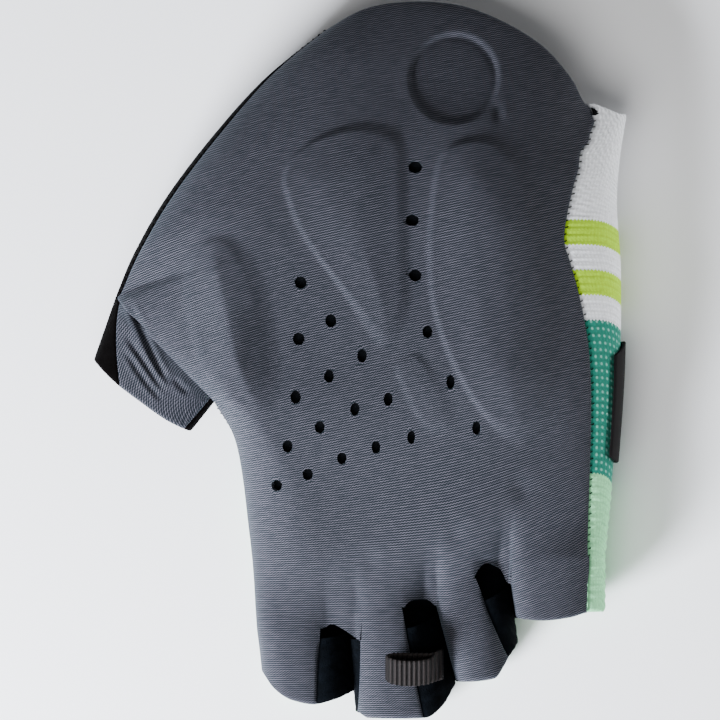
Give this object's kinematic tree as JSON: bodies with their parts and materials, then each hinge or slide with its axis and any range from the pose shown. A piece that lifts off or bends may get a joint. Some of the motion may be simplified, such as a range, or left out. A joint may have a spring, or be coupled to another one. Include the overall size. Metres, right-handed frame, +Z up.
{
  "type": "short-finger cycling glove",
  "caption": "Right-hand short-finger cycling glove lying palm up: vented padded palm cloth, knitted back, suede finger strips, a side label and a ribbon pull-off loop.",
  "frame": {"origin": "on the flat patch under the back of the hand, in the middle of the glove's length and width, on the surface that it lies on", "axes": "+Y towards the wrist, -Y towards the fingertips, -X towards the thumb, +Z up out of the palm"},
  "size_m": [0.1335, 0.1792, 0.0348],
  "materials": {
    "palm_cloth": "matte heather knit",
    "back_knit": "matte rib knit with lime, teal and mint bands",
    "finger_knit": "matte rib knit",
    "microfibre": "brushed",
    "suede": "brushed nap",
    "lining": "smooth tricot",
    "foam": "open-cell foam",
    "ribbon": "ribbed ribbon",
    "label": "matte",
    "thread": "twisted thread"
  },
  "bodies": {
    "hand": {"palm_panel": "palm_cloth", "back_knit": "back_knit", "thumb_side_panel": "microfibre", "palm_lining": "lining", "thenar_pad": "foam", "hypothenar_pad": "foam", "index_base_pad": "foam", "heel_disc": "foam", "wrist_elastic": "ribbon", "little_side_seam": "thread", "thumb_side_seam": "thread", "index_side_seam": "thread", "side_label": "label", "index_middle_web": "suede", "middle_ring_web": "suede", "ring_little_web": "suede"},
    "index_finger": {"index_palm_face": "palm_cloth", "index_back": "finger_knit", "index_outer_strip": "suede"},
    "middle_finger": {"middle_palm_face": "palm_cloth", "middle_back": "finger_knit", "middle_outer_strip": "suede", "middle_inner_strip": "suede"},
    "ring_finger": {"ring_palm_face": "palm_cloth", "ring_back": "finger_knit", "ring_outer_strip": "suede", "ring_inner_strip": "suede"},
    "little_finger": {"little_palm_face": "palm_cloth", "little_back": "finger_knit", "little_inner_strip": "suede"},
    "thumb": {"thumb_palm_face": "palm_cloth", "thumb_back": "microfibre"},
    "pull_loop": {"pull_loop": "ribbon"}
  },
  "joints": [
    {"name": "index_curl", "type": "hinge", "parent": "hand", "child": "index_finger", "pos_m": [-0.0145, -0.0692, 0.0241], "axis": [-0.9987, -0.05, 0], "range_deg": [0, 45]},
    {"name": "middle_curl", "type": "hinge", "parent": "hand", "child": "middle_finger", "pos_m": [0.0095, -0.06705, 0.0245], "axis": [-0.9929, -0.119, 0], "range_deg": [0, 45]},
    {"name": "ring_curl", "type": "hinge", "parent": "hand", "child": "ring_finger", "pos_m": [0.0285, -0.06048, 0.0235], "axis": [-0.9866, -0.163, 0], "range_deg": [0, 45]},
    {"name": "little_curl", "type": "hinge", "parent": "hand", "child": "little_finger", "pos_m": [0.049, -0.05328, 0.0245], "axis": [-0.9966, -0.082, 0], "range_deg": [0, 45]},
    {"name": "thumb_lift", "type": "hinge", "parent": "hand", "child": "thumb", "pos_m": [-0.0489, 0.0025, 0.0228], "axis": [-0.688, 0.7257, 0], "range_deg": [0, 30]},
    {"name": "loop_lift", "type": "hinge", "parent": "middle_finger", "child": "pull_loop", "pos_m": [0.0209, -0.0755, 0.0195], "axis": [0, 1, 0], "range_deg": [0, 40]}
  ]
}
